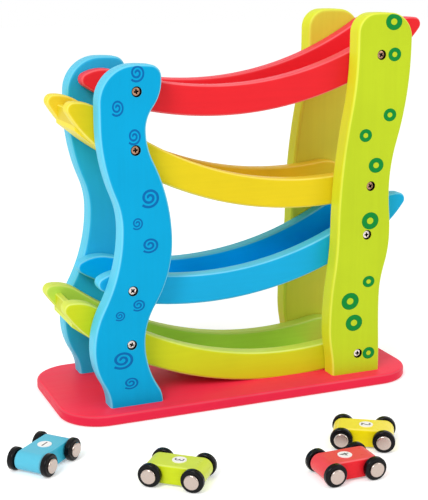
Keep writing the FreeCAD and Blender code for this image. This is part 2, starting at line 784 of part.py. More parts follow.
def make_wheels(car, end_name, forward):
    """One axle, the two hubs pressed on it and the tyres on the hubs."""
    place = car_place(car, forward)
    heading = f"${car}_car_heading"
    inner = "($car_body_width / 2 + $wheel_side_gap)"
    outer = f"({inner} + $tyre_width)"
    cap = f"({outer} + $hub_cap_height)"

    axle = new_body(f"{car}_car_{end_name}_axle", place, heading)
    section = new_sketch(axle, "side")
    draw_circle(section, "0", "0", "$axle_radius")
    extrude(axle, section, f"2 * {outer}", both_ways=True)

    hubs = new_body(f"{car}_car_{end_name}_hubs", place, heading, solids=2)
    profile = new_sketch(hubs, "flat")
    for side in (1, -1):
        draw_polygon(profile, [
            ("$axle_radius", f"{side} * {inner}"),
            ("$hub_radius", f"{side} * {inner}"),
            ("$hub_radius", f"{side} * {cap}"),
            ("0", f"{side} * {cap}"),
            ("0", f"{side} * {outer}"),
            ("$axle_radius", f"{side} * {outer}"),
        ])
    revolve(hubs, profile)
    at_cap = on_faces(cap)
    round_edges(hubs, "$hub_edge_radius", lambda edge: at_cap(edge) and edge.BoundBox.XLength > TINY)

    tyres = new_body(f"{car}_car_{end_name}_tyres", place, heading, solids=2)
    profile = new_sketch(tyres, "flat")
    for side in (1, -1):
        draw_polygon(profile, [
            ("$hub_radius", f"{side} * {inner}"),
            ("$tyre_radius", f"{side} * {inner}"),
            ("$tyre_radius", f"{side} * {outer}"),
            ("$hub_radius", f"{side} * {outer}"),
        ])
    revolve(tyres, profile)
    between = number("$hub_radius + $tyre_radius")
    round_edges(tyres, "$tyre_edge_radius",
                lambda edge: edge.BoundBox.YLength < TINY and edge.BoundBox.XLength > between)


def make_all():
    """Every piece of the track and the cars."""
    write_sheet()
    make_base()
    for colour in UPRIGHTS:
        for side_name in SIDES:
            make_upright(colour, side_name)
    for ramp in RAMPS:
        for side_name in SIDES:
            make_rail(ramp, side_name)
        make_floor(ramp)
        make_stop(ramp)
    for side_name in SIDES:
        make_screws(side_name)
    make_base_screws()
    for car in CARS:
        make_car_body(car)
        make_discs(car)
        make_wheels(car, "front", "$wheelbase / 2")
        make_wheels(car, "rear", "-$wheelbase / 2")


def check_and_write():
    """Refuse a failed step, then write each piece to its own file."""
    doc.recompute()
    for item in doc.Objects:
        if "Invalid" in item.State or "Error" in item.State:
            raise RuntimeError(f"{item.Label} failed: {item.State}")
    os.makedirs("parts", exist_ok=True)
    for name, body in pieces.items():
        if body.Shape.isNull() or not body.Shape.isValid() or not body.Shape.Solids:
            raise RuntimeError(f"{name} has no sound solid")
        body.Shape.exportStep(f"parts/{name}.step")
        print(name, len(body.Shape.Solids), round(body.Shape.Volume, 1))


make_all()
check_and_write()
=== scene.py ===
"""Looks for a wooden toy race track and its four little cars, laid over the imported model."""
import json
import math

import bmesh
import bpy
from bpy.props import FloatProperty, FloatVectorProperty, IntProperty, PointerProperty
from mathutils import Euler, Matrix, Vector
from mathutils.bvhtree import BVHTree


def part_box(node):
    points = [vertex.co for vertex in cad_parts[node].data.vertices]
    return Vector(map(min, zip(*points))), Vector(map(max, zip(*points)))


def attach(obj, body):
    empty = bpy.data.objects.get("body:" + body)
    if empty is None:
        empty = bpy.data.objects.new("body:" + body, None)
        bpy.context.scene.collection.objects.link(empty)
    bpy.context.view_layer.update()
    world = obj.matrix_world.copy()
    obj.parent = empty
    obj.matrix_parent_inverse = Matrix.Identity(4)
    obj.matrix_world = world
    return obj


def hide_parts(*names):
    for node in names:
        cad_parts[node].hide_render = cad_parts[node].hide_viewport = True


bl_info = {
    "name": "Toy Race Track",
    "version": (1, 0, 0),
    "blender": (4, 5, 0),
    "location": "3D View > Sidebar > Race Track",
    "description": "Paint, printed marks, screws, car finishes and a studio for a wooden toy race track",
    "category": "Object",
}

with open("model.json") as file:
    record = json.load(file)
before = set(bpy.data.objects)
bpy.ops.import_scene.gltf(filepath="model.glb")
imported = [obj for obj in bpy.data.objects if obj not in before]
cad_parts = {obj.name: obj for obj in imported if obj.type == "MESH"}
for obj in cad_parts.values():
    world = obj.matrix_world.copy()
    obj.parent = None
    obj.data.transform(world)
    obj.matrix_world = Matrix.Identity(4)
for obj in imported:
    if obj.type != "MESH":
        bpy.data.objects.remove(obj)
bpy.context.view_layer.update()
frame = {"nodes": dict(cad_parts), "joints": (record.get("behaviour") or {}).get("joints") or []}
NODES = frame["nodes"]

MM = 0.001
RAMPS = ("red", "yellow", "blue", "green")

# Each car's number.
CARS = {"blue": "1", "yellow": "2", "green": "3", "red": "4"}

# Which way along Y the outer faces of each side look.
OUTWARD = {"front": -1, "rear": 1}

# Each node of screws: the axis that its screws lie along, which way along it
# their heads look, and the turn that brings a head there from upright.
SCREW_NODES = {
    "front_screws": (1, -1, (math.pi / 2, 0, 0)),
    "rear_screws": (1, 1, (-math.pi / 2, 0, 0)),
    "base_screws": (2, -1, (math.pi, 0, 0)),
}
SCREWS_IN_A_NODE = 8

# The printed marks: each one's middle, along and up from the middle of the base
# board's underside, then half its width and half its height, in millimetres.
SPIRALS = (
    (-98.6, 289.5, 6.6, 7.0), (-115.6, 262.7, 5.7, 6.7), (-101.8, 239.1, 6.0, 6.8), (-89.3, 188.0, 8.6, 8.2),
    (-100.2, 167.4, 5.1, 5.2), (-89.6, 148.3, 7.8, 6.5), (-100.4, 97.9, 6.1, 5.2), (-116.7, 90.3, 4.8, 4.3),
    (-115.2, 51.6, 10.0, 7.8), (-108.2, 30.3, 7.1, 5.3),
)
RINGS = (
    (135.6, 325.1, 8.1, 7.2), (137.4, 297.2, 6.4, 5.9), (134.8, 244.9, 6.4, 5.7), (111.2, 228.0, 6.2, 5.7),
    (122.6, 201.0, 7.5, 6.7), (118.5, 151.2, 8.5, 7.8), (119.0, 95.1, 6.1, 5.3), (100.6, 78.5, 8.8, 7.9),
    (105.2, 57.7, 8.5, 7.7), (121.4, 27.0, 6.2, 5.6),
)

# Painted wood: how many fibres, cloudy patches and pimples to a metre, the sheen
# of the paint and of its clear coat, and the colour of the painted highlight
# along rounded corners.
FIBRES_PER_METRE = 260.0
PATCHES_PER_METRE = 16.0
PIMPLES_PER_METRE = 900.0
PAINT_SPECULAR = 0.09
COAT_ROUGHNESS = 0.12
CORNER_HIGHLIGHT = (1.0, 1.0, 0.96, 1.0)

# How squarely a spot looks along its board's face direction, from 0 to 1: where
# edge paint, with its painted light and shade, turns to face paint, and where the
# painted highlight along a rounded corner comes and goes.
EDGE_TO_FACE = (0.78, 0.93)
CORNER_COMES = (0.25, 0.6)
CORNER_GOES = (0.75, 0.985)

# The middle stretch of a noise texture, which holds nearly all of its values.
NOISE_RANGE = (0.3, 0.7)

# Fine textures: how many marks to a metre and how strong, the gloss (0 is a
# mirror) and how far it changes, the depth of the bumps, and the sheen.
PRINTED = {"marks_per_metre": 700.0, "marks": 0.35, "gloss": 0.5, "gloss_change": 0.06, "depth": 0.02 * MM,
           "specular": 0.1}
PAPER = {"marks_per_metre": 1600.0, "marks": 0.5, "gloss": 0.5, "gloss_change": 0.08, "depth": 0.01 * MM}
DIGIT_INK = {"marks_per_metre": 2200.0, "marks": 0.4, "gloss": 0.4, "gloss_change": 0.08, "depth": 0.01 * MM}
MOULDED = {"marks_per_metre": 900.0, "marks": 0.3, "gloss": 0.2, "gloss_change": 0.06, "depth": 0.02 * MM,
           "specular": 0.16}
PLATED = {"marks_per_metre": 1400.0, "marks": 0.4, "gloss": 0.27, "gloss_change": 0.08, "depth": 0.02 * MM,
          "metallic": 1.0}
POLISHED = {"marks_per_metre": 1500.0, "marks": 0.4, "gloss": 0.15, "gloss_change": 0.06, "depth": 0.01 * MM,
            "metallic": 1.0}
STEEL_BAR = {"marks_per_metre": 1200.0, "marks": 0.4, "gloss": 0.3, "gloss_change": 0.06, "depth": 0.01 * MM,
             "metallic": 1.0}

# The camera that sees what the picture shows: its place and turn, the widths of
# its sensor and lens in millimetres, and how far its middle is shifted.
CAMERA_PLACE = (-0.3994, -0.9377, 0.3738)
CAMERA_TURN = (math.radians(90 - 14.130), 0, math.radians(-22.498))
CAMERA_SENSOR = 36.0
CAMERA_LENS = 83.77
CAMERA_SHIFT = (0.00386, 0.01236)
CAMERA_RANGE = (0.05, 20.0)

# The studio: the floor's half width and glow, the middle of the track, and each
# lamp's place and size.
FLOOR_REACH = 6.0
FLOOR_GLOW = 0.3
TRACK_MIDDLE = (0, 0, 0.15)
KEY_PLACE, KEY_SIZE = (-1.5, -1.3, 1.7), 1.0
FILL_PLACE, FILL_SIZE = (1.5, -1.6, 1.2), 1.2


def shade(red, green, blue):
    """A colour as the screen shows it, from 0 to 255, made linear."""
    def linear(value):
        value /= 255
        return value / 12.92 if value <= 0.04045 else ((value + 0.055) / 1.055) ** 2.4
    return linear(red), linear(green), linear(blue)


def colour_setting(name, description, *screen_colour):
    return FloatVectorProperty(name=name, description=description, subtype="COLOR", size=3, min=0, max=1,
                               default=shade(*screen_colour))


def length_setting(name, description, default, **limits):
    return FloatProperty(name=name, description=description, default=default, unit="LENGTH", precision=5,
                         **limits)


def share_setting(name, description, default, **limits):
    return FloatProperty(name=name, description=description, default=default, subtype="FACTOR", min=0, max=1,
                         **limits)


# The edge colours carry painted light and shade: lighter edges on the uprights and ramps, a darker front
# edge on the base board. The inside colours carry painted shade and bounced light on inner faces and ramp
# floors.
class BoardPaints(bpy.types.PropertyGroup):
    base: colour_setting("Base board", "Top of the base board", 255, 54, 82)
    base_edge: colour_setting("Base board's edge", "Edge of the base board", 230, 38, 70)
    blue_upright: colour_setting("Blue uprights", "Outer faces of the blue uprights", 0, 162, 212)
    blue_upright_edge: colour_setting("Blue uprights' edges", "Sawn edges of the blue uprights",
                                      90, 204, 236)
    blue_upright_inner: colour_setting("Blue uprights inside", "Inner faces of the blue uprights",
                                       42, 180, 228)
    green_upright: colour_setting("Green uprights", "Outer faces of the green uprights", 188, 208, 36)
    green_upright_edge: colour_setting("Green uprights' edges", "Sawn edges of the green uprights",
                                       226, 234, 46)
    green_upright_inner: colour_setting("Green uprights inside", "Inner faces of the green uprights",
                                        218, 216, 70)
    red_ramp: colour_setting("Red ramp", "Outer faces of the red ramp", 230, 38, 46)
    red_ramp_edge: colour_setting("Red ramp's edges", "Edges of the red ramp", 244, 68, 80)
    red_ramp_inner: colour_setting("Red ramp inside", "Inner faces and floor of the red ramp", 238, 46, 56)
    yellow_ramp: colour_setting("Yellow ramp", "Outer faces of the yellow ramp", 228, 202, 28)
    yellow_ramp_edge: colour_setting("Yellow ramp's edges", "Edges of the yellow ramp", 246, 226, 60)
    yellow_ramp_inner: colour_setting("Yellow ramp inside", "Inner faces and floor of the yellow ramp",
                                      238, 208, 46)
    blue_ramp: colour_setting("Blue ramp", "Outer faces of the blue ramp", 22, 170, 220)
    blue_ramp_edge: colour_setting("Blue ramp's edges", "Edges of the blue ramp", 84, 204, 244)
    blue_ramp_inner: colour_setting("Blue ramp inside", "Inner faces and floor of the blue ramp",
                                    0, 180, 254)
    green_ramp: colour_setting("Green ramp", "Outer faces of the green ramp", 206, 214, 34)
    green_ramp_edge: colour_setting("Green ramp's edges", "Edges of the green ramp", 220, 232, 84)
    green_ramp_inner: colour_setting("Green ramp inside", "Inner faces and floor of the green ramp",
                                     196, 230, 84)
    grain_depth: length_setting("Grain depth", "How deep the wood grain shows through the paint", 0.00006,
                                min=0, max=0.001)


class PrintedMarks(bpy.types.PropertyGroup):
    spiral_ink: colour_setting("Spiral ink", "Ink of the spirals on the blue uprights", 0, 104, 172)
    ring_ink: colour_setting("Ring ink", "Ink of the rings on the green uprights", 8, 134, 54)
    spiral_turns: FloatProperty(name="Spiral turns", description="How often a spiral goes round",
                                default=1.9, min=0.5, max=5)
    spiral_end: share_setting("Spiral end", "Inner end of a spiral, as a share of its size", 0.13)
    spiral_line: share_setting("Spiral line", "Half the width of a spiral's line, as a share of its size",
                               0.127)
    ring_hole: share_setting("Ring hole", "Hole of a ring, as a share of its size", 0.38)
    ink_height: share_setting("Ink height", "Height of the ink, as a share of half its line's width", 0.14)


class ScrewSizes(bpy.types.PropertyGroup):
    # The upper screws are the same nickel screws as the others: their colour here is a painted dark
    # reflection.
    painted_dark_reflection: colour_setting("Nickel with painted dark reflection", "Colour of the screws in the two upper ramps", 172, 132, 108)
    # Painted shade: the dark colour in the cross, at the head's edge and on the dark sleeve round the head,
    # where the hole's shade falls.
    painted_shade: colour_setting("Painted shade", "Colour of the cross and of the gap round the head", 28, 25, 25)
    nickel: colour_setting("Nickel plating", "Colour of the other screws", 226, 214, 210)
    head_radius: length_setting("Head radius", "From the middle of the head to its rim", 0.0038)
    head_height: length_setting("Head height", "From under the head to its middle", 0.0022)
    shank_radius: length_setting("Shank radius", "Half the thickness of the shank", 0.00195)
    cross_reach: length_setting("Cross reach", "From the middle of the head to the end of the cross", 0.0024)
    cross_width: length_setting("Cross width", "Width of the cross at the top", 0.0016)
    cross_depth: length_setting("Cross depth", "Depth of the cross", 0.0016)
    dome: length_setting("Dome", "Height of the head's dome above its rim", 0.0006)
    # The head's dark edge is painted shade from the rim of its hole.
    dark_edge: length_setting("Dark edge", "Width of the dark edge of the head", 0.0004)
    rim_gap: length_setting("Rim gap", "Between the head and its dark sleeve", 0.0001)
    rim_width: length_setting("Rim width", "Wall of the dark sleeve round the head", 0.00045)
    rim_height: length_setting("Rim height", "Height of the dark sleeve round the head", 0.0028)
    sides: IntProperty(name="Sides", description="Sides of the round head", default=40, min=12, max=96)
    seed: IntProperty(name="Seed", description="Changes how far each cross is turned", default=7, min=0)


class CarFinish(bpy.types.PropertyGroup):
    blue_car: colour_setting("Blue car", "Paint on the blue car", 60, 186, 216)
    red_car: colour_setting("Red car", "Paint on the red car", 234, 32, 44)
    green_car: colour_setting("Green car", "Paint on the green car", 206, 222, 28)
    yellow_car: colour_setting("Yellow car", "Paint on the yellow car", 248, 228, 12)
    tyre: colour_setting("Tyres", "Colour of the moulded tyres", 8, 8, 11)
    cap: colour_setting("Hub caps", "Colour of the polished hub caps", 190, 174, 165)
    axle: colour_setting("Axles", "Colour of the axles", 190, 190, 186)
    disc: colour_setting("Number discs", "Colour of the discs under the numbers", 250, 246, 244)
    digit: colour_setting("Numbers", "Ink of the numbers", 44, 34, 58)
    digit_height: length_setting("Number height", "Height of a number on its disc", 0.0074)
    digit_lift: length_setting("Number lift", "How far a number stands out of its disc", 0.00008)


class StudioSettings(bpy.types.PropertyGroup):
    background: colour_setting("Background", "Floor and backdrop", 255, 255, 255)
    sky: FloatProperty(name="Sky", description="Strength of the light from all round", default=0.74, min=0)
    key: FloatProperty(name="Key light", description="Power of the main lamp", default=24.0, min=0,
                       unit="POWER")
    fill: FloatProperty(name="Fill light", description="Power of the second lamp", default=7.0, min=0,
                        unit="POWER")


def new_group(name, inputs, outputs):
    """An empty shader node group with named sockets."""
    group = bpy.data.node_groups.new(name, "ShaderNodeTree")
    for socket, kind, default in inputs:
        made = group.interface.new_socket(name=socket, in_out="INPUT", socket_type=f"NodeSocket{kind}")
        made.default_value = default
    for socket, kind in outputs:
        group.interface.new_socket(name=socket, in_out="OUTPUT", socket_type=f"NodeSocket{kind}")
    return group


def add_node(tree, kind, settings=None, **links):
    """A node with its settings, and its inputs given as values or as other nodes' outputs.

    An input goes by its name, with _ for a space, or by its number after an i, as in i0."""
    node = tree.nodes.new(kind)
    for key, value in (settings or {}).items():
        setattr(node, key, value)
    for key, value in links.items():
        numbered = key[0] == "i" and key[1:].isdigit()
        socket = node.inputs[int(key[1:]) if numbered else key.replace("_", " ")]
        if isinstance(value, bpy.types.NodeSocket):
            tree.links.new(value, socket)
        else:
            socket.default_value = value
    return node


def maths(tree, operation, first, second=0.0, clamp=False):
    """One operation on two numbers."""
    settings = {"operation": operation, "use_clamp": clamp}
    return add_node(tree, "ShaderNodeMath", settings, i0=first, i1=second).outputs[0]


def spread(tree, value, low, high, to_low, to_high):
    """Map a value from one range to another, smoothly and without running past the ends."""
    node = add_node(tree, "ShaderNodeMapRange", {"interpolation_type": "SMOOTHSTEP"}, Value=value)
    for socket, number in zip(node.inputs[1:5], (low, high, to_low, to_high)):
        socket.default_value = number
    return node.outputs[0]


def mix_colours(tree, factor, first, second):
    """The first colour where the factor is 0, the second where it is 1."""
    return add_node(tree, "ShaderNodeMix", {"data_type": "RGBA"}, i0=factor, i6=first, i7=second).outputs[2]


def noise(tree, place, scale, detail=2.0, roughness=0.5):
    """Even, cloudy noise about 0.5, with so many clouds to a metre."""
    node = add_node(tree, "ShaderNodeTexNoise", Vector=place, Scale=scale, Detail=detail,
                    Roughness=roughness)
    return node.outputs[0]


def painted_wood_group():
    """Paint on sawn wood: outer face, inner face with painted shade and bounced light,
    edges with painted light and shade, a painted highlight along rounded corners,
    faint streaks and grain.
    """
    group = new_group(
        "Painted Wood",
        [
            ("Place", "Vector", (0, 0, 0)), ("Facing", "Vector", (0, 0, 1)),
            ("Face Direction", "Vector", (0, 1, 0)), ("Grain Stretch", "Vector", (1, 1, 1)),
            ("Face Paint", "Color", (0.8, 0.1, 0.1, 1)), ("Edge Paint And Painted Light", "Color", (0.9, 0.3, 0.3, 1)),
            ("Inner Paint And Painted Shade", "Color", (0.8, 0.1, 0.1, 1)), ("Corner Highlight", "Float", 0.12),
            ("Gloss", "Float", 0.36),
        ],
        [("Colour", "Color"), ("Roughness", "Float"), ("Grain", "Float")],
    )
    given = add_node(group, "NodeGroupInput").outputs
    facing = add_node(group, "ShaderNodeVectorMath", {"operation": "DOT_PRODUCT"},
                      i0=given["Facing"], i1=given["Face Direction"]).outputs["Value"]
    inside = maths(group, "LESS_THAN", facing, 0.0)
    square = maths(group, "ABSOLUTE", facing)
    edge = spread(group, square, *EDGE_TO_FACE, 1.0, 0.0)
    coming = spread(group, square, *CORNER_COMES, 0.0, 1.0)
    going = spread(group, square, *CORNER_GOES, 1.0, 0.0)
    corner = maths(group, "MULTIPLY", coming, going)
    stretched = add_node(group, "ShaderNodeVectorMath", {"operation": "MULTIPLY"},
                         i0=given["Place"], i1=given["Grain Stretch"]).outputs[0]
    fibres = noise(group, stretched, FIBRES_PER_METRE, 4.0, 0.6)
    patches = noise(group, given["Place"], PATCHES_PER_METRE, 3.0, 0.55)
    pimples = noise(group, given["Place"], PIMPLES_PER_METRE, 1.0)
    # Inner faces take the inside colour with its painted shade and bounced light; edges take the edge colour
    # with its painted light and shade.
    faces = mix_colours(group, inside, given["Face Paint"], given["Inner Paint And Painted Shade"])
    paint = mix_colours(group, edge, faces, given["Edge Paint And Painted Light"])
    uneven = spread(group, patches, *NOISE_RANGE, 0.6, 1.0)
    # A painted highlight along the rounded corners: white mixed in where a corner turns.
    wear = maths(group, "MULTIPLY", maths(group, "MULTIPLY", corner, uneven), given["Corner Highlight"])
    highlighted = mix_colours(group, wear, paint, CORNER_HIGHLIGHT)
    cloudy = spread(group, patches, 0.25, 0.75, 0.965, 1.03)
    streaky = spread(group, fibres, *NOISE_RANGE, 0.985, 1.015)
    tone = maths(group, "MULTIPLY", cloudy, streaky)
    toned = add_node(group, "ShaderNodeVectorMath", {"operation": "SCALE"}, i0=highlighted, Scale=tone).outputs[0]
    rough = maths(group, "ADD", given["Gloss"], spread(group, fibres, *NOISE_RANGE, -0.03, 0.05))
    wood_height = maths(group, "MULTIPLY", fibres, 0.75)
    paint_height = maths(group, "MULTIPLY", pimples, 0.25)
    height = maths(group, "ADD", wood_height, paint_height)
    add_node(group, "NodeGroupOutput", Colour=toned, Roughness=rough, Grain=height)
    return group


def fine_surface_group():
    """A moulded, printed or plated surface: a fine texture with slight changes of tone and gloss."""
    group = new_group(
        "Fine Surface",
        [
            ("Place", "Vector", (0, 0, 0)), ("Body Colour", "Color", (0.1, 0.1, 0.1, 1)),
            ("Mark Colour", "Color", (0.2, 0.2, 0.2, 1)), ("Marks Per Metre", "Float", 900.0),
            ("Marks", "Float", 0.2), ("Gloss", "Float", 0.35), ("Gloss Change", "Float", 0.1),
        ],
        [("Colour", "Color"), ("Roughness", "Float"), ("Texture", "Float")],
    )
    given = add_node(group, "NodeGroupInput").outputs
    smudges_to_marks = 0.18
    smudges_per_metre = maths(group, "MULTIPLY", given["Marks Per Metre"], smudges_to_marks)
    fine = noise(group, given["Place"], given["Marks Per Metre"], 4.0, 0.6)
    smudges = noise(group, given["Place"], smudges_per_metre, 2.0)
    marks = maths(group, "MULTIPLY", spread(group, fine, 0.48, 0.72, 0.0, 1.0), given["Marks"])
    colour = mix_colours(group, marks, given["Body Colour"], given["Mark Colour"])
    either_way = spread(group, smudges, *NOISE_RANGE, -1.0, 1.0)
    change = maths(group, "MULTIPLY", either_way, given["Gloss Change"])
    rough = maths(group, "ADD", given["Gloss"], change, True)
    add_node(group, "NodeGroupOutput", Colour=colour, Roughness=rough, Texture=fine)
    return group


def shared_group(name, build):
    """The node group of that name, built the first time that it is asked for."""
    return bpy.data.node_groups.get(name) or build()


def new_material(name):
    """A material with an empty tree, its output and its Principled shader."""
    material = bpy.data.materials.new(name)
    material.use_nodes = True
    tree = material.node_tree
    tree.nodes.clear()
    shader = add_node(tree, "ShaderNodeBsdfPrincipled")
    add_node(tree, "ShaderNodeOutputMaterial", Surface=shader.outputs[0])
    return material, tree, shader


def fill_shader(tree, shader, group, height, depth):
    """Lead a group's colour, roughness and height into the shader."""
    tree.links.new(group.outputs["Colour"], shader.inputs["Base Color"])
    tree.links.new(group.outputs["Roughness"], shader.inputs["Roughness"])
    bump = add_node(tree, "ShaderNodeBump", Strength=1.0, Distance=depth, Height=group.outputs[height])
    tree.links.new(bump.outputs[0], shader.inputs["Normal"])


def painted_wood(name, face, edge, inner, face_direction, grain_stretch, depth, gloss=0.4, wear=0.12,
                 coat=0.0):
    """Satin or gloss paint on a board whose outer face points one way."""
    material, tree, shader = new_material(name)
    texture = add_node(tree, "ShaderNodeTexCoord")
    group = tree.nodes.new("ShaderNodeGroup")
    group.node_tree = shared_group("Painted Wood", painted_wood_group)
    tree.links.new(texture.outputs["Object"], group.inputs["Place"])
    tree.links.new(texture.outputs["Normal"], group.inputs["Facing"])
    group.inputs["Face Direction"].default_value = face_direction
    group.inputs["Grain Stretch"].default_value = grain_stretch
    group.inputs["Face Paint"].default_value = (*face, 1)
    # The edge and inner colours carry painted light and shade.
    group.inputs["Edge Paint And Painted Light"].default_value = (*edge, 1)
    group.inputs["Inner Paint And Painted Shade"].default_value = (*inner, 1)
    # How strong the painted highlight along the rounded corners is.
    group.inputs["Corner Highlight"].default_value = wear
    group.inputs["Gloss"].default_value = gloss
    fill_shader(tree, shader, group, "Grain", depth)
    shader.inputs["Specular IOR Level"].default_value = PAINT_SPECULAR
    shader.inputs["Coat Weight"].default_value = coat
    shader.inputs["Coat Roughness"].default_value = COAT_ROUGHNESS
    return material


def fine_surface(name, colour, mark_tone, marks_per_metre, marks, gloss, gloss_change, depth, metallic=0.0,
                 specular=0.5):
    """Ink, moulding, paper or metal with fine marks, whose colour is the surface's times their tone."""
    material, tree, shader = new_material(name)
    texture = add_node(tree, "ShaderNodeTexCoord")
    group = tree.nodes.new("ShaderNodeGroup")
    group.node_tree = shared_group("Fine Surface", fine_surface_group)
    tree.links.new(texture.outputs["Object"], group.inputs["Place"])
    group.inputs["Body Colour"].default_value = (*colour, 1)
    group.inputs["Mark Colour"].default_value = (*(channel * mark_tone for channel in colour), 1)
    group.inputs["Marks Per Metre"].default_value = marks_per_metre
    group.inputs["Marks"].default_value = marks
    group.inputs["Gloss"].default_value = gloss
    group.inputs["Gloss Change"].default_value = gloss_change
    fill_shader(tree, shader, group, "Texture", depth)
    shader.inputs["Metallic"].default_value = metallic
    shader.inputs["Specular IOR Level"].default_value = specular
    return material


def give(material, node):
    """Put a material on a CAD node."""
    for slot in NODES[node].material_slots:
        slot.material = material


def new_piece(name, mesh, material, body):
    """A finished mesh as a piece that rides on a body."""
    piece = bpy.data.objects.new(name, mesh)
    bpy.context.scene.collection.objects.link(piece)
    mesh.materials.clear()
    mesh.materials.append(material)
    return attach(piece, body)


def new_points(name, rows, **attributes):
    """Loose points, each with its own numbers, for a node tree to put things on."""
    mesh = bpy.data.meshes.new(name)
    mesh.from_pydata(rows, [], [])
    for key, values in attributes.items():
        vector = hasattr(values[0], "__len__")
        attribute = mesh.attributes.new(key, "FLOAT_VECTOR" if vector else "FLOAT", "POINT")
        flat = [number for value in values for number in value] if vector else list(values)
        attribute.data.foreach_set("vector" if vector else "value", flat)
    points = bpy.data.objects.new(name, mesh)
    bpy.context.scene.collection.objects.link(points)
    return points


def new_repeat_tree(name, inputs):
    """A geometry node tree with a geometry and named inputs, and the sockets that give their values."""
    tree = bpy.data.node_groups.new(name, "GeometryNodeTree")
    tree.interface.new_socket(name="Geometry", in_out="INPUT", socket_type="NodeSocketGeometry")
    for socket, kind in inputs:
        tree.interface.new_socket(name=socket, in_out="INPUT", socket_type=f"NodeSocket{kind}")
    tree.interface.new_socket(name="Geometry", in_out="OUTPUT", socket_type="NodeSocketGeometry")
    return tree, add_node(tree, "NodeGroupInput").outputs


def point_vector(tree, name):
    """A vector that each point carries."""
    settings = {"data_type": "FLOAT_VECTOR"}
    return add_node(tree, "GeometryNodeInputNamedAttribute", settings, Name=name).outputs["Attribute"]


def set_down(tree, points, thing, scale, rotation, material):
    """Put a thing on every point, then make it real and give it its material."""
    placed = add_node(tree, "GeometryNodeInstanceOnPoints", Points=points, Instance=thing,
                      Rotation=rotation, Scale=scale).outputs[0]
    real = add_node(tree, "GeometryNodeRealizeInstances", Geometry=placed).outputs[0]
    finished = add_node(tree, "GeometryNodeSetMaterial", Geometry=real, Material=material).outputs[0]
    add_node(tree, "NodeGroupOutput", Geometry=finished)


def ink_line(tree, line, half_width, flatness):
    """A flat, rounded line of ink along a curve."""
    sides = 10
    profile = add_node(tree, "GeometryNodeCurvePrimitiveCircle", Resolution=sides,
                       Radius=half_width).outputs[0]
    sweep = add_node(tree, "GeometryNodeCurveToMesh", Curve=line, Profile_Curve=profile,
                     Fill_Caps=True).outputs[0]
    flat = add_node(tree, "ShaderNodeCombineXYZ", X=1.0, Y=1.0, Z=flatness).outputs[0]
    pressed = add_node(tree, "GeometryNodeTransform", Geometry=sweep, Scale=flat).outputs[0]
    return add_node(tree, "GeometryNodeSetShadeSmooth", Geometry=pressed).outputs[0]


def spiral_tree():
    """A spiral of size 1 on every point: it starts at the lower left and winds in anticlockwise."""
    tree, given = new_repeat_tree("Printed Spirals", [
        ("Turns", "Float"), ("Inner End", "Float"), ("Line", "Float"), ("Height", "Float"),
        ("Ink", "Material")])
    steps_in_a_turn = 36
    spiral = add_node(tree, "GeometryNodeCurveSpiral", Resolution=steps_in_a_turn, Rotations=given["Turns"],
                      Start_Radius=1.0, End_Radius=given["Inner End"], Height=0.0, Reverse=True).outputs[0]
    lower_left = (0, 0, math.radians(225))
    turned = add_node(tree, "GeometryNodeTransform", Geometry=spiral, Rotation=lower_left).outputs[0]
    along = add_node(tree, "GeometryNodeSplineParameter").outputs["Factor"]
    outer_width, inner_width = 1.15, 0.8
    width = add_node(tree, "ShaderNodeMapRange", i0=along, i1=0.0, i2=1.0, i3=outer_width,
                     i4=inner_width).outputs[0]
    tapered = add_node(tree, "GeometryNodeSetCurveRadius", Curve=turned, Radius=width).outputs[0]
    line = ink_line(tree, tapered, given["Line"], given["Height"])
    set_down(tree, given["Geometry"], line, point_vector(tree, "mark_size"),
             point_vector(tree, "mark_turn"), given["Ink"])
    return tree


def ring_tree():
    """A ring of size 1 on every point."""
    tree, given = new_repeat_tree("Printed Rings", [
        ("Hole", "Float"), ("Height", "Float"), ("Ink", "Material")])
    middle = maths(tree, "MULTIPLY", maths(tree, "ADD", given["Hole"], 1.0), 0.5)
    half_width = maths(tree, "MULTIPLY", maths(tree, "SUBTRACT", 1.0, given["Hole"]), 0.5)
    steps = 48
    circle = add_node(tree, "GeometryNodeCurvePrimitiveCircle", Resolution=steps, Radius=middle).outputs[0]
    line = ink_line(tree, circle, half_width, given["Height"])
    set_down(tree, given["Geometry"], line, point_vector(tree, "mark_size"),
             point_vector(tree, "mark_turn"), given["Ink"])
    return tree


def screw_tree():
    """A screw on every point, each turned by its own chance amount."""
    tree, given = new_repeat_tree("Screws", [("Screw", "Object"), ("Seed", "Int"), ("Steel", "Material")])
    screw = add_node(tree, "GeometryNodeObjectInfo", Object=given["Screw"]).outputs["Geometry"]
    quarter_turn = math.pi / 2
    chance = add_node(tree, "FunctionNodeRandomValue", {"data_type": "FLOAT"}, i2=0.0, i3=quarter_turn,
                      Seed=given["Seed"])
    spin = add_node(tree, "ShaderNodeCombineXYZ", Z=chance.outputs[1]).outputs[0]
    outward = add_node(tree, "FunctionNodeEulerToRotation", Euler=point_vector(tree, "screw_turn"))
    spun = add_node(tree, "FunctionNodeRotateRotation", {"rotation_space": "LOCAL"},
                    Rotation=outward.outputs[0], Rotate_By=spin).outputs[0]
    set_down(tree, given["Geometry"], screw, (1.0, 1.0, 1.0), spun, given["Steel"])
    return tree


def grow(points, tree, **values):
    """Run a node tree on points and return the plain mesh it makes. The points are used up."""
    modifier = points.modifiers.new(tree.name, "NODES")
    modifier.node_group = tree
    sockets = {item.name: item.identifier for item in tree.interface.items_tree if item.in_out == "INPUT"}
    for name, value in values.items():
        modifier[sockets[name.replace("_", " ")]] = value
    bpy.context.view_layer.update()
    evaluated = points.evaluated_get(bpy.context.evaluated_depsgraph_get())
    mesh = bpy.data.meshes.new_from_object(evaluated)
    points.modifiers.remove(modifier)
    bpy.data.objects.remove(points)
    if not mesh.polygons:
        raise RuntimeError(f"{tree.name} made nothing")
    return mesh


